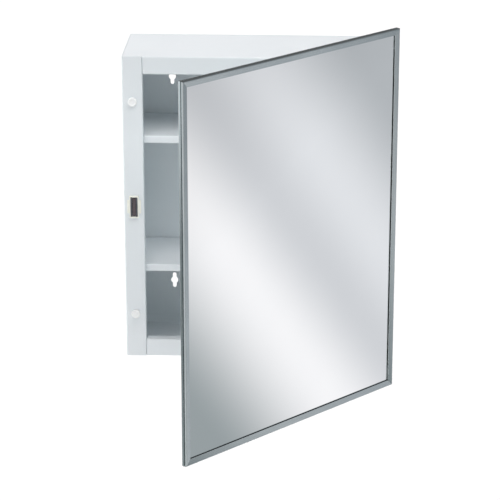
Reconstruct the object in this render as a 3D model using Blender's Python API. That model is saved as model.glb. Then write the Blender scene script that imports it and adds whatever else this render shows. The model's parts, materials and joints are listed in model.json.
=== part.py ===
"""Wall-hung steel medicine cabinet with a framed mirror door, standing open.

Metres, +Z up, front towards -Y.  The origin is on the rear face, at its middle.
The door parts hang from an empty on the hinge pin, turned by the opening angle.
"""
import math

import bmesh
import bpy
from mathutils import Vector

MM = 0.001
FIT_GAP = 0.3 * MM
SMOOTH_ANGLE = math.radians(35.0)

# Cabinet body, folded from sheet steel
BODY_WIDTH = 381.0 * MM
BODY_HEIGHT = 470.0 * MM
BODY_DEPTH = 140.0 * MM
SHEET = 1.0 * MM
BEND_RADIUS = 1.8 * MM
BEND_STEPS = 5
STILE_WIDTH = 30.3 * MM
STILE_RETURN = 9.0 * MM
RAIL_HEIGHT = 27.0 * MM
TOP_RAIL_RETURN = 10.0 * MM
BOTTOM_RAIL_RETURN = 14.0 * MM
REAR_FLANGE = 14.0 * MM

# Keyhole slots in the back panel
KEYHOLE_X = 127.0 * MM
KEYHOLE_LEVELS = (-161.5 * MM, 169.3 * MM)
KEYHOLE_HEAD_RADIUS = 5.5 * MM
KEYHOLE_SLOT_RADIUS = 2.85 * MM
KEYHOLE_REACH = 12.2 * MM

# Fixed shelves and the angle brackets under them
UPPER_SHELF_Z = 111.6 * MM
LOWER_SHELF_Z = -90.2 * MM
SHELF_SETBACK = 11.0 * MM
SHELF_LIP = 11.0 * MM
SHELF_HALF_LENGTH = 188.6 * MM
BRACKET_LEG = 12.0 * MM
BRACKET_DROP = 9.0 * MM
BRACKET_INSET = 9.0 * MM

# Magnetic catch and bumpers on the left stile
STILE_CENTRE_X = -BODY_WIDTH / 2 + STILE_WIDTH / 2
BUMPER_Z = 166.4 * MM
BUMPER_RADIUS = 6.75 * MM
BUMPER_DISH_RADIUS = 4.2 * MM
BUMPER_STEM_RADIUS = 2.2 * MM
BUMPER_SEGMENTS = 28
CATCH_Z = 4.5 * MM
CATCH_BEZEL = (14.4 * MM, 34.4 * MM)
CATCH_EARS = (20.6 * MM, 21.0 * MM)
CATCH_SHELL = (12.8 * MM, 32.6 * MM)
CATCH_POCKET = (10.6 * MM, 30.2 * MM)
CATCH_EAR_THICKNESS = 1.6 * MM
CATCH_SHELL_DEPTH = 14.0 * MM
CATCH_CORNER = 1.6 * MM
POCKET_CORNER = 0.5 * MM
POLE_SIZE = (2.0 * MM, 14.0 * MM, 29.0 * MM)
POLE_GAP = 0.6 * MM
MAGNET_SIZE = (4.8 * MM, 11.0 * MM, 27.6 * MM)
MAGNET_SETBACK = 1.0 * MM

# Full-length hinge
KNUCKLE_RADIUS = 2.0 * MM
LEAF_SHEET = 0.8 * MM
PIN_RADIUS = 0.9 * MM
PIN_SEGMENTS = 16
LEAF_WIDTH = 20.0 * MM
CURL_ANGLE = math.radians(290.0)
CURL_STEPS = 11
KNUCKLE_COUNT = 31
KNUCKLE_GAP = 0.25 * MM
HINGE_LENGTH = 464.0 * MM
HINGE_SIDE_OFFSET = 2.3 * MM
RIVET_FROM_PIN = 11.0 * MM
RIVET_RADIUS = 1.6 * MM
RIVET_HEAD_RADIUS = 3.0 * MM
RIVET_HEAD_HEIGHT = 0.9 * MM
RIVET_SEGMENTS = 12
BODY_RIVET_Z = (-205.0 * MM, -72.0 * MM, 72.0 * MM, 205.0 * MM)
DOOR_RIVET_Z = (-190.0 * MM, -57.0 * MM, 57.0 * MM, 190.0 * MM)

# Door
DOOR_WIDTH = 432.0 * MM
DOOR_HEIGHT = 559.0 * MM
DOOR_THICKNESS = 9.5 * MM
OPEN_ANGLE = math.radians(47.0)
FRAME_SHEET = 1.0 * MM
FRAME_FRONT_LIP = 9.3 * MM
FRAME_LIP_DROP = 1.4 * MM
FRAME_BACK_LIP = 12.0 * MM
FRAME_BEND_RADIUS = 1.25 * MM
GROOVE_DEPTH = 1.7 * MM
GROOVE_FROM_FRONT = 2.5 * MM
GROOVE_WIDTH = 1.8 * MM
GROOVE_SLOPE = 0.25 * MM
GROOVE_WALL = 0.45 * MM
MITRE_GAP = 0.15 * MM
GLASS_FRONT = 3.6 * MM
GLASS_THICKNESS = 2.6 * MM
GLASS_EDGE = 4.7 * MM
PADDING_THICKNESS = 0.6 * MM
BACK_PLATE_THICKNESS = 0.8 * MM
BACK_PLATE_EDGE = 4.5 * MM
BRACE_LEG = 28.0 * MM
BRACE_THICKNESS = 1.2 * MM
BRACE_SETBACK = 1.1 * MM
STRIP_THICKNESS = 1.4 * MM
STRIP_END_GAP = 1.0 * MM

# Levels that follow from the numbers above
FRONT_Y = -BODY_DEPTH
HALF_WIDTH = BODY_WIDTH / 2
HALF_HEIGHT = BODY_HEIGHT / 2
FLANGE_Y = -(SHEET + FIT_GAP + SHEET / 2)
STILE_INNER_X = HALF_WIDTH - STILE_WIDTH
HINGE_X = HALF_WIDTH + HINGE_SIDE_OFFSET
HINGE_Y = FRONT_Y - FIT_GAP - KNUCKLE_RADIUS
BACK_PLATE_BACK = DOOR_THICKNESS - FRAME_SHEET - FIT_GAP
BACK_PLATE_FRONT = BACK_PLATE_BACK - BACK_PLATE_THICKNESS
PLATE_TO_PIN = KNUCKLE_RADIUS + FIT_GAP
DOOR_FRONT_Y = -PLATE_TO_PIN - BACK_PLATE_BACK
DOOR_CENTRE_X = -HINGE_X
FRAME_INSIDE = FRAME_SHEET + GROOVE_DEPTH + FIT_GAP
CONTACT_Y = HINGE_Y - PLATE_TO_PIN + FIT_GAP


# ---------------------------------------------------------------- materials

def make_material(name, colour, roughness, metallic=0.0):
    """Return a Principled BSDF material."""
    material = bpy.data.materials.new(name)
    material.use_nodes = True
    shader = material.node_tree.nodes["Principled BSDF"]
    shader.inputs["Base Color"].default_value = (*colour, 1.0)
    shader.inputs["Roughness"].default_value = roughness
    shader.inputs["Metallic"].default_value = metallic
    material.diffuse_color = (*colour, 1.0)
    return material


def white_enamel():
    return make_material("white_enamel", (0.80, 0.83, 0.85), 0.35)


def white_nylon():
    return make_material("white_nylon", (0.84, 0.86, 0.87), 0.45)


def ivory_plastic():
    return make_material("ivory_plastic", (0.78, 0.78, 0.70), 0.45)


def ferrite():
    return make_material("ferrite", (0.10, 0.08, 0.08), 0.7)


def plated_steel():
    return make_material("plated_steel", (0.30, 0.31, 0.33), 0.35, 1.0)


def stainless_steel():
    return make_material("stainless_steel", (0.62, 0.66, 0.67), 0.18, 1.0)


def mirror_glass_material():
    return make_material("mirror_silver", (0.90, 0.91, 0.92), 0.02, 1.0)


def foam_padding():
    return make_material("foam_padding", (0.75, 0.75, 0.72), 0.9)


def galvanised_steel():
    return make_material("galvanised_steel", (0.55, 0.57, 0.58), 0.45, 1.0)


def grey_vinyl():
    return make_material("grey_vinyl", (0.12, 0.12, 0.13), 0.6)


# ------------------------------------------------------------ mesh helpers

def clear_scene():
    for obj in list(bpy.data.objects):
        bpy.data.objects.remove(obj, do_unlink=True)
    for block in list(bpy.data.meshes):
        bpy.data.meshes.remove(block)
    for block in list(bpy.data.materials):
        bpy.data.materials.remove(block)


def finish_mesh(name, bm, smooth=False):
    """Turn a bmesh into a linked object with outward normals."""
    bmesh.ops.recalc_face_normals(bm, faces=bm.faces)
    mesh = bpy.data.meshes.new(name)
    bm.to_mesh(mesh)
    bm.free()
    if smooth:
        mesh.shade_smooth()
        mesh.set_sharp_from_angle(angle=SMOOTH_ANGLE)
    obj = bpy.data.objects.new(name, mesh)
    bpy.context.scene.collection.objects.link(obj)
    return obj


def dress(obj, material, parent=None):
    """Give an object its material and, where needed, its parent."""
    obj.data.materials.clear()
    obj.data.materials.append(material)
    if parent is not None:
        obj.parent = parent
    return obj


def prism(name, outline, start, end, place, smooth=False):
    """Extrude a closed 2-D outline; place(u, v, w) gives the 3-D point."""
    bm = bmesh.new()
    near = [bm.verts.new(place(u, v, start)) for u, v in outline]
    far = [bm.verts.new(place(u, v, end)) for u, v in outline]
    count = len(outline)
    for i in range(count):
        j = (i + 1) % count
        bm.faces.new((near[i], near[j], far[j], far[i]))
    bm.faces.new(near)
    bm.faces.new(far)
    return finish_mesh(name, bm, smooth)


def box(name, low, high):
    """Axis-aligned box between two corners."""
    outline = [(low[0], low[1]), (high[0], low[1]), (high[0], high[1]), (low[0], high[1])]
    return prism(name, outline, low[2], high[2], lambda u, v, w: (u, v, w))


def rounded_rectangle(width, height, radius, steps):
    """Outline of a rectangle with rounded corners, centred on zero."""
    points = []
    for quarter, (sx, sy) in enumerate(((1, 1), (-1, 1), (-1, -1), (1, -1))):
        cx = sx * (width / 2 - radius)
        cy = sy * (height / 2 - radius)
        for k in range(steps + 1):
            angle = math.pi / 2 * (quarter + k / steps)
            points.append((cx + radius * math.cos(angle), cy + radius * math.sin(angle)))
    return points


def turn(vector, angle):
    """Rotate a 2-D vector."""
    c = math.cos(angle)
    s = math.sin(angle)
    return Vector((c * vector.x - s * vector.y, s * vector.x + c * vector.y))


def folded_outline(corners, thickness, radius, steps=BEND_STEPS):
    """Outline of a strip of sheet folded along a centre line with round bends."""
    path = [Vector(corner) for corner in corners]
    stations = []
    first = (path[1] - path[0]).normalized()
    stations.append((path[0], Vector((-first.y, first.x))))
    for before, corner, after in zip(path, path[1:], path[2:]):
        incoming = (corner - before).normalized()
        outgoing = (after - corner).normalized()
        normal = Vector((-incoming.y, incoming.x))
        bend = math.atan2(incoming.x * outgoing.y - incoming.y * outgoing.x, incoming.dot(outgoing))
        side = math.copysign(1.0, bend)
        arc_start = corner - incoming * radius * math.tan(abs(bend) / 2)
        centre = arc_start + normal * radius * side
        for k in range(steps + 1):
            swung = turn(normal, bend * k / steps)
            stations.append((centre - swung * radius * side, swung))
    last = (path[-1] - path[-2]).normalized()
    stations.append((path[-1], Vector((-last.y, last.x))))
    half = thickness / 2
    left = [tuple(point + normal * half) for point, normal in stations]
    right = [tuple(point - normal * half) for point, normal in reversed(stations)]
    return left + right


def combine(obj, other, operation):
    """Apply one exact boolean and drop the second object."""
    modifier = obj.modifiers.new(operation.lower(), "BOOLEAN")
    modifier.operation = operation
    modifier.solver = "EXACT"
    modifier.object = other
    bpy.context.view_layer.update()
    graph = bpy.context.evaluated_depsgraph_get()
    mesh = bpy.data.meshes.new_from_object(obj.evaluated_get(graph))
    old = obj.data
    obj.modifiers.clear()
    obj.data = mesh
    bpy.data.meshes.remove(old)
    bpy.data.objects.remove(other, do_unlink=True)
    return obj


def cut(obj, *cutters):
    for cutter in cutters:
        combine(obj, cutter, "DIFFERENCE")
    return obj


def lathe_y(name, profile, segments, centre):
    """Turn (radius, y) pairs about a Y line; the profile ends on the axis."""
    bm = bmesh.new()
    rings = []
    for radius, y in profile:
        if radius == 0.0:
            rings.append([bm.verts.new((centre[0], y, centre[1]))])
            continue
        ring = []
        for k in range(segments):
            angle = 2 * math.pi * k / segments
            x = centre[0] + radius * math.cos(angle)
            z = centre[1] + radius * math.sin(angle)
            ring.append(bm.verts.new((x, y, z)))
        rings.append(ring)
    for a, b in zip(rings, rings[1:]):
        for k in range(segments):
            n = (k + 1) % segments
            if len(a) == 1:
                bm.faces.new((a[0], b[n], b[k]))
            elif len(b) == 1:
                bm.faces.new((a[k], a[n], b[0]))
            else:
                bm.faces.new((a[k], a[n], b[n], b[k]))
    return finish_mesh(name, bm, smooth=True)


def disc_cutter(centre, y0, y1, radius, segments=RIVET_SEGMENTS):
    """Round cutter along Y."""
    profile = [(0.0, y0), (radius, y0), (radius, y1), (0.0, y1)]
    return lathe_y("cutter", profile, segments, centre)


# ------------------------------------------------------------ cabinet body

def side_panel(name, side, material):
    """Side wall with rear flange, front stile and the stile's return."""
    wall = HALF_WIDTH - SHEET / 2
    front = FRONT_Y + SHEET / 2
    edge = STILE_INNER_X + SHEET / 2
    corners = [
        (wall - REAR_FLANGE, FLANGE_Y),
        (wall, FLANGE_Y),
        (wall, front),
        (edge, front),
        (edge, FRONT_Y + STILE_RETURN),
    ]
    outline = folded_outline(corners, SHEET, BEND_RADIUS)
    outline = [(side * x, y) for x, y in outline]
    panel = prism(name, outline, -HALF_HEIGHT, HALF_HEIGHT, lambda u, v, w: (u, v, w), smooth=True)
    clear = SHEET + FIT_GAP
    inner = HALF_WIDTH - SHEET
    for end in (-1, 1):
        z0, z1 = sorted((end * (HALF_HEIGHT - clear), end * (HALF_HEIGHT + SHEET)))
        x0, x1 = sorted((side * (STILE_INNER_X - SHEET), side * inner))
        cut(panel, box("cutter", (x0, FRONT_Y + SHEET, z0), (x1, SHEET, z1)))
    return dress(panel, material)


def left_side_panel(material):
    panel = side_panel("left_side_panel", -1, material)
    for z in (-BUMPER_Z, BUMPER_Z):
        hole = disc_cutter((STILE_CENTRE_X, z), FRONT_Y - SHEET, FRONT_Y + 2 * SHEET,
                           BUMPER_STEM_RADIUS + FIT_GAP)
        cut(panel, hole)
    half_x = CATCH_SHELL[0] / 2 + FIT_GAP
    half_z = CATCH_SHELL[1] / 2 + FIT_GAP
    window = box("cutter", (STILE_CENTRE_X - half_x, FRONT_Y - SHEET, CATCH_Z - half_z),
                 (STILE_CENTRE_X + half_x, FRONT_Y + 2 * SHEET, CATCH_Z + half_z))
    return cut(panel, window)


def right_side_panel(material):
    panel = side_panel("right_side_panel", 1, material)
    for z in BODY_RIVET_Z:
        hole = disc_cutter((HINGE_X - RIVET_FROM_PIN, z), FRONT_Y - SHEET, FRONT_Y + 2 * SHEET,
                           RIVET_RADIUS + FIT_GAP)
        cut(panel, hole)
    return panel


def end_panel(name, end, rail_return, material):
    """Top or bottom wall with rear flange, front rail and the rail's return."""
    wall = HALF_HEIGHT - SHEET / 2
    front = FRONT_Y + SHEET / 2
    rail_edge = HALF_HEIGHT - RAIL_HEIGHT + SHEET / 2
    corners = [
        (FLANGE_Y, wall - REAR_FLANGE),
        (FLANGE_Y, wall),
        (front, wall),
        (front, rail_edge),
        (FRONT_Y + rail_return, rail_edge),
    ]
    outline = folded_outline(corners, SHEET, BEND_RADIUS)
    half = HALF_WIDTH - SHEET - FIT_GAP
    panel = prism(name, outline, -half, half, lambda u, v, w: (w, u, end * v), smooth=True)
    rail_half = STILE_INNER_X - FIT_GAP
    flange_half = HALF_WIDTH - SHEET / 2 - REAR_FLANGE - FIT_GAP
    outside = HALF_WIDTH + SHEET
    under_wall = HALF_HEIGHT - SHEET - FIT_GAP
    behind_stile = FRONT_Y + SHEET + FIT_GAP
    lowest = HALF_HEIGHT - 2 * RAIL_HEIGHT
    for side in (-1, 1):
        x0, x1 = sorted((side * rail_half, side * outside))
        z0, z1 = sorted((end * lowest, end * (HALF_HEIGHT + SHEET)))
        cut(panel, box("cutter", (x0, FRONT_Y - SHEET, z0), (x1, behind_stile, z1)))
        z0, z1 = sorted((end * lowest, end * under_wall))
        cut(panel, box("cutter", (x0, FRONT_Y - SHEET, z0), (x1, FRONT_Y + RAIL_HEIGHT, z1)))
        x0, x1 = sorted((side * flange_half, side * outside))
        cut(panel, box("cutter", (x0, -RAIL_HEIGHT, z0), (x1, SHEET, z1)))
    return dress(panel, material)


def keyhole_outline():
    """Round head with a slot above and below, so the panel hangs either way up."""
    steps = 8
    meet = math.asin(KEYHOLE_SLOT_RADIUS / KEYHOLE_HEAD_RADIUS)
    slot_centre = KEYHOLE_REACH - KEYHOLE_SLOT_RADIUS
    upper = []
    for k in range(steps + 1):
        angle = math.pi * k / steps
        x = KEYHOLE_SLOT_RADIUS * math.cos(angle)
        z = slot_centre + KEYHOLE_SLOT_RADIUS * math.sin(angle)
        upper.append((x, z))
    left = []
    for k in range(steps + 1):
        angle = math.pi / 2 + meet + (math.pi - 2 * meet) * k / steps
        left.append((KEYHOLE_HEAD_RADIUS * math.cos(angle), KEYHOLE_HEAD_RADIUS * math.sin(angle)))
    half = upper + left
    return half + [(-x, -z) for x, z in half]


def back_panel(material):
    panel = box("back_panel", (-HALF_WIDTH, -SHEET, -HALF_HEIGHT), (HALF_WIDTH, 0.0, HALF_HEIGHT))
    for x in (-KEYHOLE_X, KEYHOLE_X):
        for z in KEYHOLE_LEVELS:
            outline = [(x + u, z + v) for u, v in keyhole_outline()]
            cut(panel, prism("cutter", outline, -2 * SHEET, SHEET, lambda u, v, w: (u, w, v)))
    return dress(panel, material)


def shelf(name, top_z, material):
    """Flat shelf with its front and rear edges turned down."""
    rear = FLANGE_Y - SHEET / 2 - FIT_GAP - SHEET / 2
    front = FRONT_Y + SHELF_SETBACK + SHEET / 2
    level = top_z - SHEET / 2
    corners = [(rear, top_z - SHELF_LIP), (rear, level), (front, level), (front, top_z - SHELF_LIP)]
    outline = folded_outline(corners, SHEET, BEND_RADIUS)
    board = prism(name, outline, -SHELF_HALF_LENGTH, SHELF_HALF_LENGTH,
                  lambda u, v, w: (w, u, v), smooth=True)
    return dress(board, material)


def shelf_bracket(name, side, shelf_z, material):
    """Angle on the side wall that carries one end of a shelf."""
    wall = HALF_WIDTH - SHEET - FIT_GAP - SHEET / 2
    level = shelf_z - SHEET - FIT_GAP - SHEET / 2
    corners = [(wall, level - BRACKET_DROP), (wall, level), (wall - BRACKET_LEG, level)]
    outline = folded_outline(corners, SHEET, SHEET)
    outline = [(side * x, z) for x, z in outline]
    rear = -(BRACKET_INSET + SHEET)
    front = FRONT_Y + SHELF_SETBACK + BRACKET_INSET
    angle = prism(name, outline, rear, front, lambda u, v, w: (u, w, v), smooth=True)
    return dress(angle, material)


# ------------------------------------------------------- bumpers and catch

def bumper(name, z, material):
    """Dished push-in bumper with a barbed stem through the stile."""
    seat = FRONT_Y - FIT_GAP
    tip = CONTACT_Y
    behind = FRONT_Y + SHEET + FIT_GAP
    barb = BUMPER_STEM_RADIUS + 0.9 * MM
    edge = 0.8 * MM
    profile = [
        (0.0, behind + 3.0 * MM),
        (BUMPER_STEM_RADIUS - edge, behind + 3.0 * MM),
        (barb, behind + edge),
        (barb, behind),
        (BUMPER_STEM_RADIUS, behind),
        (BUMPER_STEM_RADIUS, seat),
        (BUMPER_RADIUS, seat),
        (BUMPER_RADIUS, tip + 1.5 * edge),
        (BUMPER_RADIUS - 0.3 * edge, tip + 0.6 * edge),
        (BUMPER_RADIUS - edge, tip + 0.1 * edge),
        (BUMPER_RADIUS - 1.6 * edge, tip),
        (BUMPER_DISH_RADIUS + 0.5 * edge, tip),
        (BUMPER_DISH_RADIUS, tip + 0.3 * edge),
        (BUMPER_DISH_RADIUS - 0.8 * edge, tip + 1.6 * edge),
        (0.0, tip + 1.9 * edge),
    ]
    return dress(lathe_y(name, profile, BUMPER_SEGMENTS, (STILE_CENTRE_X, z)), material)


def catch_block(name, size, corner, y0, y1):
    """Rounded block on the stile, from y0 back to y1."""
    outline = rounded_rectangle(size[0], size[1], corner, 4)
    place = (STILE_CENTRE_X, CATCH_Z)
    return prism(name, outline, y0, y1, lambda u, v, w: (place[0] + u, w, place[1] + v), smooth=True)


def catch_box(name, size, offset, y0, y1):
    """Square-edged block in the catch, offset sideways, from y0 back to y1."""
    x = STILE_CENTRE_X + offset
    low = (x - size[0] / 2, y0, CATCH_Z - size[1] / 2)
    high = (x + size[0] / 2, y1, CATCH_Z + size[1] / 2)
    return box(name, low, high)


def catch_housing(material):
    """Plastic catch body: shell through the stile, bezel, two side ears, open pocket."""
    seat = FRONT_Y - FIT_GAP
    face = CONTACT_Y + 0.6 * MM
    rear = FRONT_Y + CATCH_SHELL_DEPTH
    housing = catch_block("catch_housing", CATCH_BEZEL, CATCH_CORNER, face, seat)
    overlap = 0.4 * MM
    ears = catch_block("ears", CATCH_EARS, CATCH_CORNER / 2, seat - CATCH_EAR_THICKNESS, seat)
    combine(housing, ears, "UNION")
    shell = catch_box("shell", CATCH_SHELL, 0.0, seat - overlap, rear)
    combine(housing, shell, "UNION")
    pocket = catch_block("cutter", CATCH_POCKET, POCKET_CORNER, face - SHEET, rear - 1.5 * MM)
    return dress(cut(housing, pocket), material)


def pole_plate(name, side, material):
    offset = side * (MAGNET_SIZE[0] / 2 + POLE_GAP + POLE_SIZE[0] / 2)
    size = (POLE_SIZE[0], POLE_SIZE[2])
    return dress(catch_box(name, size, offset, CONTACT_Y, CONTACT_Y + POLE_SIZE[1]), material)


def catch_magnet(material):
    front = CONTACT_Y + MAGNET_SETBACK
    size = (MAGNET_SIZE[0], MAGNET_SIZE[2])
    return dress(catch_box("catch_magnet", size, 0.0, front, front + MAGNET_SIZE[1]), material)


# ------------------------------------------------------------------- hinge

def curl_chain(side):
    """Knuckle cross-section from the leaf's outer edge round to its inner edge."""
    outer = []
    inner = []
    for k in range(CURL_STEPS + 1):
        angle = CURL_ANGLE * k / CURL_STEPS
        direction = Vector((math.sin(angle), side * math.cos(angle)))
        outer.append(direction * KNUCKLE_RADIUS)
        inner.append(direction * (KNUCKLE_RADIUS - LEAF_SHEET))
    return outer + inner[::-1]


def hinge_leaf(name, side, first, holes, material):
    """Hinge leaf about the pin line; its knuckles start at slot number first."""
    pitch = HINGE_LENGTH / KNUCKLE_COUNT
    outer_v = side * KNUCKLE_RADIUS
    inner_v = side * (KNUCKLE_RADIUS - LEAF_SHEET)
    root = -(KNUCKLE_RADIUS + 0.35 * MM)
    plate = [(root, outer_v), (-LEAF_WIDTH, outer_v), (-LEAF_WIDTH, inner_v), (root, inner_v)]
    curl = curl_chain(side)
    bm = bmesh.new()
    levels = []
    for slot in range(KNUCKLE_COUNT):
        base = -HINGE_LENGTH / 2 + slot * pitch
        has_knuckle = slot % 2 == first
        low = base + (KNUCKLE_GAP / 2 if has_knuckle else -KNUCKLE_GAP / 2)
        levels.append((max(low, -HINGE_LENGTH / 2), has_knuckle))
    levels.append((HINGE_LENGTH / 2, False))
    rings = [[bm.verts.new((u, v, z)) for u, v in plate] for z, _ in levels]
    for i, (z, has_knuckle) in enumerate(levels[:-1]):
        low = rings[i]
        high = rings[i + 1]
        for k in range(3):
            bm.faces.new((low[k], low[k + 1], high[k + 1], high[k]))
        if not has_knuckle:
            bm.faces.new((low[3], low[0], high[0], high[3]))
            continue
        top_z = levels[i + 1][0]
        lower = [low[0]] + [bm.verts.new((p.x, p.y, z)) for p in curl] + [low[3]]
        upper = [high[0]] + [bm.verts.new((p.x, p.y, top_z)) for p in curl] + [high[3]]
        for k in range(len(lower) - 1):
            bm.faces.new((lower[k], lower[k + 1], upper[k + 1], upper[k]))
        bm.faces.new(lower)
        bm.faces.new(upper)
    bm.faces.new(rings[0])
    bm.faces.new(rings[-1])
    leaf = finish_mesh(name, bm, smooth=True)
    for z in holes:
        y0 = min(outer_v, inner_v) - LEAF_SHEET
        y1 = max(outer_v, inner_v) + LEAF_SHEET
        cut(leaf, disc_cutter((-RIVET_FROM_PIN, z), y0, y1, RIVET_RADIUS + FIT_GAP))
    return dress(leaf, material)


def hinge_pin(material):
    bm = bmesh.new()
    bmesh.ops.create_cone(bm, cap_ends=True, segments=PIN_SEGMENTS, radius1=PIN_RADIUS,
                          radius2=PIN_RADIUS, depth=HINGE_LENGTH)
    pin = finish_mesh("hinge_pin", bm, smooth=True)
    pin.location = (HINGE_X, HINGE_Y, 0.0)
    return dress(pin, material)


def head_profile(base, outward, radius, height):
    """Low domed rivet head rising from base, ending on the axis."""
    return [
        (radius, base),
        (radius * 0.93, base + outward * height * 0.45),
        (radius * 0.70, base + outward * height * 0.80),
        (radius * 0.38, base + outward * height * 0.96),
        (0.0, base + outward * height),
    ]


def body_rivet(name, z, material):
    """Rivet through the fixed leaf and the right stile, headed at both ends."""
    leaf_face = HINGE_Y + KNUCKLE_RADIUS - LEAF_SHEET - FIT_GAP
    stile_back = FRONT_Y + SHEET + FIT_GAP
    front = head_profile(leaf_face, -1, RIVET_HEAD_RADIUS, RIVET_HEAD_HEIGHT)
    rear = head_profile(stile_back, 1, RIVET_HEAD_RADIUS, RIVET_HEAD_HEIGHT)
    profile = rear[::-1] + [(RIVET_RADIUS, stile_back), (RIVET_RADIUS, leaf_face)] + front
    return dress(lathe_y(name, profile, RIVET_SEGMENTS, (HINGE_X - RIVET_FROM_PIN, z)), material)


def door_rivet(name, z, material, parent):
    """Rivet through the moving leaf, closed flush inside the door back."""
    leaf_face = -KNUCKLE_RADIUS + LEAF_SHEET + FIT_GAP
    flush = -PLATE_TO_PIN - BACK_PLATE_THICKNESS
    head = head_profile(leaf_face, 1, RIVET_HEAD_RADIUS, RIVET_HEAD_HEIGHT)
    profile = head[::-1] + [(RIVET_RADIUS, leaf_face), (RIVET_RADIUS, flush), (0.0, flush)]
    return dress(lathe_y(name, profile, RIVET_SEGMENTS, (-RIVET_FROM_PIN, z)), material, parent)


# -------------------------------------------------------------------- door

def door_point(x, depth, z):
    """Point on the closed door seen from the pin; depth runs back from its front face."""
    return (DOOR_CENTRE_X + x, DOOR_FRONT_Y + depth, z)


def door_box(name, half_x, half_z, depth0, depth1):
    return box(name, door_point(-half_x, depth0, -half_z), door_point(half_x, depth1, half_z))


def groove_outline(surface, margin):
    """Rolled groove across one surface of the channel's outer wall, front to back."""
    start = GROOVE_FROM_FRONT - margin
    end = GROOVE_FROM_FRONT + GROOVE_WIDTH + margin
    floor = surface + GROOVE_DEPTH
    return [
        (surface, start),
        (floor, start + GROOVE_SLOPE),
        (floor, end - GROOVE_SLOPE),
        (surface, end),
    ]


def frame_profile():
    """Channel section as (distance in from the door edge, depth from the front).

    The front lip slopes in towards the glass.
    """
    half = FRAME_SHEET / 2
    corners = [
        (FRAME_FRONT_LIP, half + FRAME_LIP_DROP),
        (half, half),
        (half, DOOR_THICKNESS - half),
        (FRAME_BACK_LIP, DOOR_THICKNESS - half),
    ]
    outline = folded_outline(corners, FRAME_SHEET, FRAME_BEND_RADIUS)
    front_bend = BEND_STEPS + 2
    rear_side = len(outline) - front_bend
    outer_groove = groove_outline(0.0, 0.0)
    inner_groove = groove_outline(FRAME_SHEET, GROOVE_WALL)[::-1]
    outer = outline[:front_bend] + outer_groove + outline[front_bend:rear_side]
    return outer + inner_groove + outline[rear_side:]


def frame_member(name, upright, side, material, parent):
    """One mitred length of channel along an edge of the door."""
    length = DOOR_HEIGHT if upright else DOOR_WIDTH
    across = DOOR_WIDTH if upright else DOOR_HEIGHT
    bm = bmesh.new()
    ends = []
    for end in (-1, 1):
        ring = []
        for inward, depth in frame_profile():
            along = end * (length / 2 - inward - MITRE_GAP)
            off = side * (across / 2 - inward)
            point = door_point(off, depth, along) if upright else door_point(along, depth, off)
            ring.append(bm.verts.new(point))
        ends.append(ring)
    count = len(ends[0])
    for i in range(count):
        j = (i + 1) % count
        bm.faces.new((ends[0][i], ends[0][j], ends[1][j], ends[1][i]))
    bm.faces.new(ends[0])
    bm.faces.new(ends[1])
    return dress(finish_mesh(name, bm, smooth=True), material, parent)


def corner_brace(name, side_x, side_z, material, parent):
    """Bent angle standing on edge inside a mitred corner of the frame."""
    offset = FRAME_INSIDE + BRACE_THICKNESS / 2
    corner_x = DOOR_WIDTH / 2 - offset
    corner_z = DOOR_HEIGHT / 2 - offset
    corners = [
        (side_x * (corner_x - BRACE_LEG), side_z * corner_z),
        (side_x * corner_x, side_z * corner_z),
        (side_x * corner_x, side_z * (corner_z - BRACE_LEG)),
    ]
    outline = folded_outline(corners, BRACE_THICKNESS, BRACE_THICKNESS)
    front = FRAME_SHEET + BRACE_SETBACK
    rear = DOOR_THICKNESS - FRAME_SHEET - 0.5 * MM
    brace = prism(name, outline, front, rear, lambda u, v, w: door_point(u, w, v), smooth=True)
    return dress(brace, material, parent)


def edge_strip(name, upright, side, material, parent):
    """Filler strip between the glass edge and the frame channel."""
    length = DOOR_HEIGHT if upright else DOOR_WIDTH
    across = DOOR_WIDTH if upright else DOOR_HEIGHT
    outer = across / 2 - FRAME_INSIDE
    inner = outer - STRIP_THICKNESS
    half = length / 2 - FRAME_INSIDE - BRACE_THICKNESS / 2 - BRACE_LEG - STRIP_END_GAP
    low, high = sorted((side * inner, side * outer))
    front = GLASS_FRONT
    rear = BACK_PLATE_FRONT - FIT_GAP
    if upright:
        strip = box(name, door_point(low, front, -half), door_point(high, rear, half))
    else:
        strip = box(name, door_point(-half, front, low), door_point(half, rear, high))
    return dress(strip, material, parent)


def mirror_glass(material, parent):
    glass = door_box("mirror_glass", DOOR_WIDTH / 2 - GLASS_EDGE, DOOR_HEIGHT / 2 - GLASS_EDGE,
                     GLASS_FRONT, GLASS_FRONT + GLASS_THICKNESS)
    return dress(glass, material, parent)


def mirror_padding(material, parent):
    front = GLASS_FRONT + GLASS_THICKNESS + FIT_GAP
    padding = door_box("mirror_padding", DOOR_WIDTH / 2 - GLASS_EDGE, DOOR_HEIGHT / 2 - GLASS_EDGE,
                       front, front + PADDING_THICKNESS)
    return dress(padding, material, parent)


def door_back_plate(material, parent):
    """Steel back of the door, drilled for the hinge rivets."""
    plate = door_box("door_back_plate", DOOR_WIDTH / 2 - BACK_PLATE_EDGE,
                     DOOR_HEIGHT / 2 - BACK_PLATE_EDGE, BACK_PLATE_FRONT, BACK_PLATE_BACK)
    y0 = -PLATE_TO_PIN - 2 * BACK_PLATE_THICKNESS
    y1 = -PLATE_TO_PIN + BACK_PLATE_THICKNESS
    for z in DOOR_RIVET_Z:
        cut(plate, disc_cutter((-RIVET_FROM_PIN, z), y0, y1, RIVET_RADIUS + FIT_GAP))
    return dress(plate, material, parent)


def door_axis():
    """Empty on the hinge pin, turned to the standing-open position."""
    axis = bpy.data.objects.new("door_axis", None)
    axis.location = (HINGE_X, HINGE_Y, 0.0)
    axis.rotation_euler = (0.0, 0.0, OPEN_ANGLE)
    bpy.context.scene.collection.objects.link(axis)
    return axis


# ---------------------------------------------------------------- assembly

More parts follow.
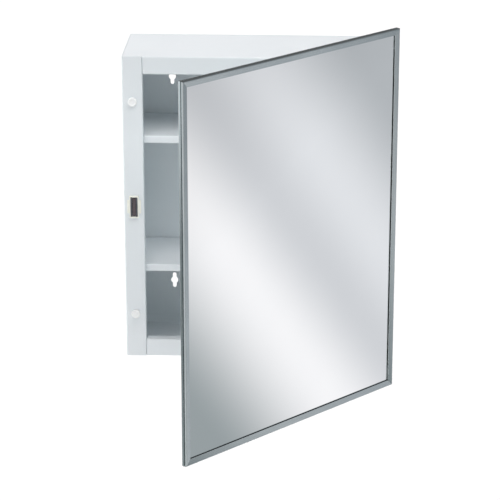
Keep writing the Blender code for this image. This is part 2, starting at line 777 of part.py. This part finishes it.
def build_cabinet():
    enamel = white_enamel()
    left_side_panel(enamel)
    right_side_panel(enamel)
    end_panel("top_panel", 1, TOP_RAIL_RETURN, enamel)
    end_panel("bottom_panel", -1, BOTTOM_RAIL_RETURN, enamel)
    back_panel(enamel)
    for level, z in (("upper", UPPER_SHELF_Z), ("lower", LOWER_SHELF_Z)):
        shelf(f"{level}_shelf", z, enamel)
        shelf_bracket(f"{level}_shelf_bracket_left", -1, z, enamel)
        shelf_bracket(f"{level}_shelf_bracket_right", 1, z, enamel)


def build_catch():
    nylon = white_nylon()
    bumper("upper_bumper", BUMPER_Z, nylon)
    bumper("lower_bumper", -BUMPER_Z, nylon)
    catch_housing(ivory_plastic())
    catch_magnet(ferrite())
    plated = plated_steel()
    pole_plate("catch_pole_left", -1, plated)
    pole_plate("catch_pole_right", 1, plated)


def build_hinge(axis, stainless):
    fixed = hinge_leaf("hinge_leaf_body", 1, 0, BODY_RIVET_Z, stainless)
    fixed.location = (HINGE_X, HINGE_Y, 0.0)
    moving = hinge_leaf("hinge_leaf_door", -1, 1, DOOR_RIVET_Z, stainless)
    moving.parent = axis
    hinge_pin(stainless)
    for number, z in enumerate(BODY_RIVET_Z, 1):
        body_rivet(f"hinge_rivet_body_{number}", z, stainless)
    for number, z in enumerate(DOOR_RIVET_Z, 1):
        door_rivet(f"hinge_rivet_door_{number}", z, stainless, axis)


def build_door(axis, stainless):
    galvanised = galvanised_steel()
    vinyl = grey_vinyl()
    sides = (("left", True, -1), ("right", True, 1), ("bottom", False, -1), ("top", False, 1))
    for where, upright, side in sides:
        frame_member(f"door_frame_{where}", upright, side, stainless, axis)
        edge_strip(f"edge_strip_{where}", upright, side, vinyl, axis)
    for row, side_z in (("bottom", -1), ("top", 1)):
        for column, side_x in (("left", -1), ("right", 1)):
            corner_brace(f"corner_brace_{row}_{column}", side_x, side_z, galvanised, axis)
    mirror_glass(mirror_glass_material(), axis)
    mirror_padding(foam_padding(), axis)
    door_back_plate(galvanised, axis)


def main():
    clear_scene()
    axis = door_axis()
    stainless = stainless_steel()
    build_cabinet()
    build_catch()
    build_hinge(axis, stainless)
    build_door(axis, stainless)


main()
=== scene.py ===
import json
import math

import bmesh
import bpy
from mathutils import Matrix, Vector

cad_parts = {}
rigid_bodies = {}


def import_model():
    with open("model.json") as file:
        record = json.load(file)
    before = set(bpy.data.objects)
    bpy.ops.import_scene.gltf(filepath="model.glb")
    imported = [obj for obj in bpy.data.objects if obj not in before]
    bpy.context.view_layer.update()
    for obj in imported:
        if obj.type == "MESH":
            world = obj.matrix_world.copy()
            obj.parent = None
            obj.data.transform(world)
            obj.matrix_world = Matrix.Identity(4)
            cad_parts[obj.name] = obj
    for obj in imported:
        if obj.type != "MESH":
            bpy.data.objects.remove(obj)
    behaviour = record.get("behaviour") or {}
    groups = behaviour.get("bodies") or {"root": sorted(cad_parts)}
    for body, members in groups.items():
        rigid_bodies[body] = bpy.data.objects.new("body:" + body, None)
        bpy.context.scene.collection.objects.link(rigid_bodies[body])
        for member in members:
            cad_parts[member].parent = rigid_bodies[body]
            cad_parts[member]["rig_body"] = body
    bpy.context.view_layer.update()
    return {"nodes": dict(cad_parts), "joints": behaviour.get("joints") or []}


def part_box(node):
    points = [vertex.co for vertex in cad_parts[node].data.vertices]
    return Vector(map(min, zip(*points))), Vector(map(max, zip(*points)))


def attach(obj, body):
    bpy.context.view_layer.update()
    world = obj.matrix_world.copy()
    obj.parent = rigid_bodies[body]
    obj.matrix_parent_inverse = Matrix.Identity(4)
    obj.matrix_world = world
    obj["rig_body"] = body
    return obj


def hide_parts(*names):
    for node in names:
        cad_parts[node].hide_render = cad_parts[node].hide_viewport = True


MM = 0.001

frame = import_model()

# ------------------------------------------------------------------- frame

JOINT = frame["joints"][0]
PIN = Vector(JOINT["pos_m"])
OPEN_ANGLE = -math.radians(JOINT["range_deg"][0])
DOOR_MATRIX = Matrix.Translation(PIN) @ Matrix.Rotation(OPEN_ANGLE, 4, "Z")


# --------------------------------------------------------------- materials

class Nodes:
    """Short-hand for building one material's node tree."""

    def __init__(self, name):
        self.material = bpy.data.materials.new(name)
        self.material.use_nodes = True
        self.tree = self.material.node_tree
        self.shader = self.tree.nodes["Principled BSDF"]

    def add(self, kind, **settings):
        node = self.tree.nodes.new(kind)
        for key, value in settings.items():
            setattr(node, key, value)
        return node

    def link(self, source, target):
        self.tree.links.new(source, target)

    def coordinates(self, scale=(1.0, 1.0, 1.0)):
        texture = self.add("ShaderNodeTexCoord")
        mapping = self.add("ShaderNodeMapping")
        mapping.inputs["Scale"].default_value = scale
        self.link(texture.outputs["Object"], mapping.inputs["Vector"])
        return mapping.outputs["Vector"]

    def noise(self, vector, scale, detail=2.0, roughness=0.5):
        node = self.add("ShaderNodeTexNoise")
        node.inputs["Scale"].default_value = scale
        node.inputs["Detail"].default_value = detail
        node.inputs["Roughness"].default_value = roughness
        self.link(vector, node.inputs["Vector"])
        return node.outputs["Fac"]

    def spread(self, value, low, high, source=(0.3, 0.7)):
        node = self.add("ShaderNodeMapRange")
        node.inputs["From Min"].default_value = source[0]
        node.inputs["From Max"].default_value = source[1]
        node.inputs["To Min"].default_value = low
        node.inputs["To Max"].default_value = high
        self.link(value, node.inputs["Value"])
        return node.outputs["Result"]

    def tint(self, value, dark, light, source=(0.3, 0.7)):
        node = self.add("ShaderNodeValToRGB")
        ramp = node.color_ramp
        ramp.elements[0].position = source[0]
        ramp.elements[1].position = source[1]
        ramp.elements[0].color = (*dark, 1.0)
        ramp.elements[1].color = (*light, 1.0)
        self.link(value, node.inputs["Fac"])
        return node.outputs["Color"]

    def bump(self, height, strength, distance, below=None):
        node = self.add("ShaderNodeBump")
        node.inputs["Strength"].default_value = strength
        node.inputs["Distance"].default_value = distance
        self.link(height, node.inputs["Height"])
        if below is not None:
            self.link(below, node.inputs["Normal"])
        return node.outputs["Normal"]

    def finish(self, colour=None, roughness=None, normal=None, **values):
        for source, socket in ((colour, "Base Color"), (roughness, "Roughness"), (normal, "Normal")):
            if source is not None:
                self.link(source, self.shader.inputs[socket])
        for key, value in values.items():
            self.shader.inputs[key.replace("_", " ")].default_value = value
        return self.material


def white_enamel():
    n = Nodes("look_white_enamel")
    here = n.coordinates()
    cloud = n.noise(here, 9.0, 3.0)
    colour = n.tint(cloud, (0.775, 0.815, 0.842), (0.795, 0.832, 0.857))
    patch = n.noise(here, 34.0, 3.0)
    roughness = n.spread(patch, 0.36, 0.48)
    wave = n.bump(n.noise(here, 120.0, 1.0), 0.10, 0.4 * MM)
    peel = n.bump(n.noise(here, 900.0, 2.0), 0.16, 0.06 * MM, wave)
    return n.finish(colour, roughness, peel, Specular_IOR_Level=0.5)


def stainless(name, stretch):
    """Bright drawn stainless; stretch squeezes the grain across its running direction."""
    n = Nodes(name)
    grain_space = n.coordinates(stretch)
    here = n.coordinates()
    grain = n.noise(grain_space, 1400.0, 3.0, 0.6)
    cloud = n.noise(here, 22.0, 2.0)
    # Painted shade: the base tone sits below plain stainless, standing in for the darker surroundings
    # the frame reflected.
    colour = n.tint(cloud, (0.400, 0.443, 0.455), (0.440, 0.483, 0.495))
    roughness = n.spread(grain, 0.16, 0.24)
    normal = n.bump(grain, 0.06, 0.02 * MM)
    return n.finish(colour, roughness, normal, Metallic=1.0)


def mirror_silver():
    n = Nodes("look_mirror_silver")
    here = n.coordinates()
    film = n.noise(here, 14.0, 4.0, 0.6)
    colour = n.tint(film, (0.885, 0.893, 0.898), (0.895, 0.902, 0.906))
    roughness = n.spread(film, 0.010, 0.022)
    ripple = n.bump(n.noise(here, 5.0, 1.0), 0.02, 0.05 * MM)
    return n.finish(colour, roughness, ripple, Metallic=1.0)


def galvanised():
    n = Nodes("look_galvanised")
    here = n.coordinates()
    cells = n.add("ShaderNodeTexVoronoi")
    cells.inputs["Scale"].default_value = 95.0
    n.link(here, cells.inputs["Vector"])
    tone = n.add("ShaderNodeSeparateColor")
    n.link(cells.outputs["Color"], tone.inputs["Color"])
    colour = n.tint(tone.outputs["Red"], (0.66, 0.715, 0.730), (0.80, 0.850, 0.865), (0.0, 1.0))
    roughness = n.spread(tone.outputs["Green"], 0.34, 0.52, (0.0, 1.0))
    normal = n.bump(n.noise(here, 700.0, 3.0), 0.10, 0.03 * MM)
    return n.finish(colour, roughness, normal, Metallic=1.0)


def moulded(name, dark, light, rough=(0.38, 0.5)):
    """Moulded plastic with a faint spark-eroded texture."""
    n = Nodes(name)
    here = n.coordinates()
    colour = n.tint(n.noise(here, 160.0, 3.0), dark, light)
    fine = n.noise(here, 2600.0, 2.0)
    roughness = n.spread(fine, *rough)
    normal = n.bump(fine, 0.12, 0.03 * MM)
    return n.finish(colour, roughness, normal)


def ferrite():
    n = Nodes("look_ferrite")
    here = n.coordinates()
    grain = n.noise(here, 1800.0, 4.0, 0.7)
    colour = n.tint(grain, (0.060, 0.048, 0.055), (0.15, 0.122, 0.128))
    roughness = n.spread(grain, 0.5, 0.75)
    return n.finish(colour, roughness, n.bump(grain, 0.4, 0.08 * MM))


def plated_steel_with_painted_shade_and_glints():
    n = Nodes("look_plated_steel")
    here = n.coordinates((1.0, 1.0, 0.06))
    grain = n.noise(here, 2200.0, 3.0, 0.65)
    # Painted shade and painted glints: the pole steel is tinted near black to stand in for the shade
    # of the catch pocket, and its lighter grain streaks stand in for glints.
    colour = n.tint(grain, (0.03, 0.033, 0.04), (0.20, 0.21, 0.23))
    roughness = n.spread(grain, 0.18, 0.36)
    return n.finish(colour, roughness, n.bump(grain, 0.15, 0.03 * MM), Metallic=1.0)


def foam():
    n = Nodes("look_foam")
    here = n.coordinates()
    cells = n.add("ShaderNodeTexVoronoi")
    cells.inputs["Scale"].default_value = 1300.0
    n.link(here, cells.inputs["Vector"])
    colour = n.tint(cells.outputs["Distance"], (0.55, 0.55, 0.52), (0.72, 0.72, 0.69), (0.0, 0.8))
    roughness = n.spread(cells.outputs["Distance"], 0.8, 0.95, (0.0, 0.8))
    return n.finish(colour, roughness, n.bump(cells.outputs["Distance"], 0.5, 0.2 * MM))


ENAMEL = white_enamel()
GALVANISED = galvanised()
NYLON = moulded("look_white_nylon", (0.90, 0.91, 0.91), (0.94, 0.945, 0.945))
IVORY = moulded("look_ivory_plastic", (0.88, 0.88, 0.80), (0.93, 0.93, 0.86))
# Edge strip vinyl: partly its own dark tone, partly painted shade, toned near black to deepen the dark
# line of the gap at the glass edge.
VINYL_AND_PAINTED_SHADE = moulded("look_dark_vinyl_and_painted_shade", (0.022, 0.022, 0.024), (0.04, 0.04, 0.044), (0.5, 0.7))
MIRROR = mirror_silver()
FERRITE = ferrite()
PLATED_PAINTED_SHADE_AND_GLINTS = plated_steel_with_painted_shade_and_glints()
FOAM = foam()
STEEL_UPRIGHT = stainless("look_stainless_upright", (1.0, 1.0, 0.012))
STEEL_LEVEL = stainless("look_stainless_level", (0.012, 1.0, 1.0))


# ------------------------------------------------------------ mesh helpers

def link_object(name, bm, material, body, matrix=None):
    mesh = bpy.data.meshes.new(name)
    bm.to_mesh(mesh)
    bm.free()
    mesh.shade_smooth()
    mesh.materials.append(material)
    obj = bpy.data.objects.new(name, mesh)
    bpy.context.scene.collection.objects.link(obj)
    if matrix is not None:
        obj.matrix_world = matrix
    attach(obj, body)
    return obj


# Edges sharper than this are rounded; weld and flatten limits for the copied CAD meshes
SHARP_ANGLE = math.radians(40)
FLAT_ANGLE = math.radians(0.6)
WELD_DISTANCE = 0.004 * MM
FACE_AREA_WEIGHT = 90


def soften(obj, width, segments=2):
    """Round the sharp edges of a piece a little, and keep its big faces shading flat."""
    bevel = obj.modifiers.new("soft_edges", "BEVEL")
    bevel.width = width
    bevel.segments = segments
    bevel.limit_method = "ANGLE"
    bevel.angle_limit = SHARP_ANGLE
    shading = obj.modifiers.new("even_shading", "WEIGHTED_NORMAL")
    shading.mode = "FACE_AREA"
    shading.weight = FACE_AREA_WEIGHT


def refined(node, material, width, segments=2):
    """A welded, soft-edged copy of a CAD node's shape, standing for that node."""
    source = frame["nodes"][node]
    body = source["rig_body"]
    matrix = DOOR_MATRIX if body == "door" else Matrix.Identity(4)
    bm = bmesh.new()
    bm.from_mesh(source.data)
    bm.transform(matrix.inverted())
    bmesh.ops.remove_doubles(bm, verts=bm.verts, dist=WELD_DISTANCE)
    bmesh.ops.dissolve_limit(bm, angle_limit=FLAT_ANGLE, verts=bm.verts, edges=bm.edges)
    bmesh.ops.recalc_face_normals(bm, faces=bm.faces)
    obj = link_object(f"{node}_finished", bm, material, body, matrix)
    soften(obj, width, segments)
    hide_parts(node)
    return obj


# Bumper section in mm: radius, and depth behind the tip
BUMPER_SECTION = (
    (0.0, 8.6), (1.4, 8.6), (3.1, 6.4), (3.1, 5.6), (2.2, 5.6), (2.2, 4.0), (6.75, 4.0),
    (6.75, 1.2), (6.62, 0.65), (6.25, 0.25), (5.75, 0.05), (5.3, 0.0), (4.9, 0.06),
    (4.6, 0.25), (4.4, 0.55), (4.15, 0.78), (3.8, 0.85), (2.0, 0.85), (0.0, 0.85),
)
BUMPER_STEPS = 56


def bumper(node):
    """Dished bumper lathed about its stem's axis, standing for a CAD node."""
    low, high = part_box(node)
    centre_x = (low[0] + high[0]) / 2
    centre_z = (low[2] + high[2]) / 2
    turns = [2 * math.pi * k / BUMPER_STEPS for k in range(BUMPER_STEPS)]
    bm = bmesh.new()
    rings = []
    for radius, depth in BUMPER_SECTION:
        reach = radius * MM
        y = low[1] + depth * MM
        ring = turns if radius else turns[:1]
        rings.append([bm.verts.new((centre_x + reach * math.cos(a), y, centre_z + reach * math.sin(a)))
                      for a in ring])
    for near, far in zip(rings, rings[1:]):
        for k in range(BUMPER_STEPS):
            following = (k + 1) % BUMPER_STEPS
            corners = [near[k % len(near)], near[following % len(near)],
                       far[following % len(far)], far[k % len(far)]]
            bm.faces.new(list(dict.fromkeys(corners)))
    bmesh.ops.recalc_face_normals(bm, faces=bm.faces)
    obj = link_object(f"{node}_finished", bm, NYLON, "cabinet")
    soften(obj, 0.1 * MM, 1)
    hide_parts(node)


# ------------------------------------------------------------ cabinet body

for name in ("left_side_panel", "right_side_panel", "top_panel", "bottom_panel",
             "back_panel", "upper_shelf", "lower_shelf"):
    refined(name, ENAMEL, 0.28 * MM)
for level in ("upper", "lower"):
    for side in ("left", "right"):
        refined(f"{level}_shelf_bracket_{side}", ENAMEL, 0.25 * MM)
    bumper(f"{level}_bumper")
refined("catch_housing", IVORY, 0.3 * MM)
refined("catch_magnet", FERRITE, 0.2 * MM)
for side in ("left", "right"):
    refined(f"catch_pole_{side}", PLATED_PAINTED_SHADE_AND_GLINTS, 0.2 * MM)

# ------------------------------------------------------------------- hinge

refined("hinge_leaf_body", STEEL_UPRIGHT, 0.12 * MM, 1)
refined("hinge_leaf_door", STEEL_UPRIGHT, 0.12 * MM, 1)
refined("hinge_pin", STEEL_UPRIGHT, 0.15 * MM)
for number in range(1, 5):
    refined(f"hinge_rivet_body_{number}", STEEL_UPRIGHT, 0.1 * MM, 1)
    refined(f"hinge_rivet_door_{number}", STEEL_UPRIGHT, 0.1 * MM, 1)

# -------------------------------------------------------------------- door

for side in ("left", "right"):
    refined(f"door_frame_{side}", STEEL_UPRIGHT, 0.2 * MM)
    refined(f"edge_strip_{side}", VINYL_AND_PAINTED_SHADE, 0.3 * MM)
for side in ("bottom", "top"):
    refined(f"door_frame_{side}", STEEL_LEVEL, 0.2 * MM)
    refined(f"edge_strip_{side}", VINYL_AND_PAINTED_SHADE, 0.3 * MM)
    for end in ("left", "right"):
        refined(f"corner_brace_{side}_{end}", GALVANISED, 0.2 * MM)
refined("mirror_glass", MIRROR, 0.4 * MM)
refined("mirror_padding", FOAM, 0.3 * MM)
refined("door_back_plate", GALVANISED, 0.2 * MM)

# ------------------------------------------------------------------- stage

FLOOR_Z = -1.4
FLOOR_HALF = 60.0
FLOOR_CELLS = 8

AIR_COLOUR = (1.0, 1.0, 1.0)
AIR_STRENGTH = 0.2

# Broad soft lights: name, azimuth, elevation, strength, colour.
# Azimuth 0 is straight in front, positive towards the left.
SUN_ANGLE = 40.0
LIGHTS = (
    ("front_high", 0, 62, 1.08, (1.04, 0.98, 0.97)),
    ("front_right", -40, 50, 0.98, (0.96, 1.01, 1.02)),
    ("left", 95, 12, 1.45, (0.92, 1.03, 1.02)),
    ("rear", 150, 40, 1.32, (1.04, 0.99, 1.0)),
)

# Card on the right, seen in the mirror: the bands run across BAND_DIRECTION, and
# the light falls to FADE_LOW at the near end of FADE_DIRECTION
MIRROR_CARD_CENTRE = (1.6, -0.2, -0.05)
MIRROR_CARD_SIZE = (2.4, 2.6)
BAND_DIRECTION = (0.0, 0.467, 0.3178)
BAND_SPAN = (-0.5244, -0.0694)
FADE_DIRECTION = (0.0, 1.0, -0.9)
FADE_SPAN = (-0.28, 0.10)
FADE_LOW = 0.82

# Card on the left, seen in the door's outer edge
SIDE_CARD_CENTRE = (-1.6, -0.45, -0.5)
SIDE_CARD_SIZE = (1.6, 1.7)
SIDE_SPAN = (-1.1, 0.1)
UPWARDS = (0.0, 0.0, 1.0)

CAMERA_PLACE = (0.1368, -3.3141, 1.0438)
CAMERA_LENS = 161.3
CAMERA_SENSOR = 36.0
CAMERA_LOOKS_DOWN = 19.187
CAMERA_TURNS_LEFT = 2.507
CAMERA_CLIP = (0.1, 200.0)


def emission_material(name):
    """Plain glowing card; returns the short-hand and its emission shader."""
    n = Nodes(name)
    n.tree.nodes.remove(n.shader)
    glow = n.add("ShaderNodeEmission")
    output = n.tree.nodes["Material Output"]
    n.link(glow.outputs["Emission"], output.inputs["Surface"])
    return n, glow


def ramp_stops(node, stops, interpolation):
    ramp = node.color_ramp
    ramp.interpolation = interpolation
    while len(ramp.elements) < len(stops):
        ramp.elements.new(0.5)
    for element, (position, colour) in zip(ramp.elements, stops):
        element.position = position
        element.color = (*colour, 1.0)


def graded_card(name, centre, size, direction, span, stops, fade=None):
    """Upright card across X that only reflections see, its colour graded along a direction.

    fade, if given, is a second direction, the two places along it between which the
    light rises to full, and the share of light at the first.
    """
    n, glow = emission_material(f"look_{name}")
    place = n.add("ShaderNodeNewGeometry")
    along = n.add("ShaderNodeVectorMath", operation="DOT_PRODUCT")
    along.inputs[1].default_value = direction
    n.link(place.outputs["Position"], along.inputs[0])
    level = n.spread(along.outputs["Value"], 0.0, 1.0, span)
    ramp = n.add("ShaderNodeValToRGB")
    ramp_stops(ramp, stops, "EASE")
    n.link(level, ramp.inputs["Fac"])
    n.link(ramp.outputs["Color"], glow.inputs["Color"])
    if fade is not None:
        fade_direction, fade_span, fade_low = fade
        across = n.add("ShaderNodeVectorMath", operation="DOT_PRODUCT")
        across.inputs[1].default_value = fade_direction
        n.link(place.outputs["Position"], across.inputs[0])
        strength = n.spread(across.outputs["Value"], fade_low, 1.0, fade_span)
        n.link(strength, glow.inputs["Strength"])
    half_y = size[0] / 2
    half_z = size[1] / 2
    bm = bmesh.new()
    corners = ((-half_y, -half_z), (half_y, -half_z), (half_y, half_z), (-half_y, half_z))
    bm.faces.new([bm.verts.new((0.0, y, z)) for y, z in corners])
    mesh = bpy.data.meshes.new(name)
    bm.to_mesh(mesh)
    bm.free()
    mesh.materials.append(n.material)
    card = bpy.data.objects.new(name, mesh)
    card.location = centre
    card.visible_camera = False
    card.visible_diffuse = False
    card.visible_shadow = False
    card.visible_transmission = False
    bpy.context.scene.collection.objects.link(card)


def mirror_card():
    """Card on the right with two soft slanting bands of light, seen in the mirror."""
    dark = (0.345, 0.385, 0.398)
    bright = (1.03, 1.025, 1.04)
    middle = (0.70, 0.715, 0.745)
    second = (0.835, 0.85, 0.88)
    far = (0.495, 0.52, 0.545)
    stops = (
        (0.0, dark), (0.06, dark), (0.40, bright), (0.595, middle), (0.75, second), (1.0, far),
    )
    fade = (FADE_DIRECTION, FADE_SPAN, FADE_LOW)
    graded_card("mirror_card", MIRROR_CARD_CENTRE, MIRROR_CARD_SIZE, BAND_DIRECTION,
                BAND_SPAN, stops, fade)


def side_card():
    """Card on the left, bright above and dark below, seen in the door's outer edge."""
    low = (0.48, 0.52, 0.53)
    dark = (0.26, 0.285, 0.295)
    high = (1.25, 1.28, 1.30)
    stops = ((0.0, low), (0.15, low), (0.48, dark), (0.79, high), (1.0, high))
    graded_card("side_card", SIDE_CARD_CENTRE, SIDE_CARD_SIZE, UPWARDS, SIDE_SPAN, stops)


def make_floor():
    n = Nodes("look_floor")
    here = n.coordinates()
    colour = n.tint(n.noise(here, 1.6, 3.0), (0.95, 0.95, 0.95), (0.97, 0.97, 0.97))
    roughness = n.spread(n.noise(here, 12.0, 3.0), 0.7, 0.85)
    material = n.finish(colour, roughness, Specular_IOR_Level=0.2)
    bm = bmesh.new()
    bmesh.ops.create_grid(bm, x_segments=FLOOR_CELLS, y_segments=FLOOR_CELLS, size=FLOOR_HALF)
    mesh = bpy.data.meshes.new("studio_floor")
    bm.to_mesh(mesh)
    bm.free()
    mesh.materials.append(material)
    floor = bpy.data.objects.new("studio_floor", mesh)
    floor.location = (0.0, 0.0, FLOOR_Z)
    bpy.context.scene.collection.objects.link(floor)


def make_world(colour, strength):
    world = bpy.data.worlds.new("studio_air")
    bpy.context.scene.world = world
    world.use_nodes = True
    background = world.node_tree.nodes["Background"]
    background.inputs["Color"].default_value = (*colour, 1.0)
    background.inputs["Strength"].default_value = strength


def soft_light(name, azimuth, elevation, strength, colour):
    a = math.radians(azimuth)
    e = math.radians(elevation)
    direction = Vector((math.sin(a) * math.cos(e), math.cos(a) * math.cos(e), -math.sin(e)))
    light = bpy.data.lights.new(name, "SUN")
    light.energy = strength
    light.color = colour
    light.angle = math.radians(SUN_ANGLE)
    obj = bpy.data.objects.new(name, light)
    obj.rotation_mode = "QUATERNION"
    obj.rotation_quaternion = direction.to_track_quat("-Z", "Y")
    bpy.context.scene.collection.objects.link(obj)


def make_camera():
    data = bpy.data.cameras.new("studio_camera")
    data.sensor_width = CAMERA_SENSOR
    data.lens = CAMERA_LENS
    data.clip_start, data.clip_end = CAMERA_CLIP
    obj = bpy.data.objects.new("studio_camera", data)
    obj.location = CAMERA_PLACE
    obj.rotation_euler = (math.radians(90.0 - CAMERA_LOOKS_DOWN), 0.0, math.radians(CAMERA_TURNS_LEFT))
    bpy.context.scene.collection.objects.link(obj)
    bpy.context.scene.camera = obj


make_floor()
make_world(AIR_COLOUR, AIR_STRENGTH)
for setting in LIGHTS:
    soft_light(*setting)
mirror_card()
side_card()
make_camera()
bpy.context.scene.view_settings.view_transform = "Standard"
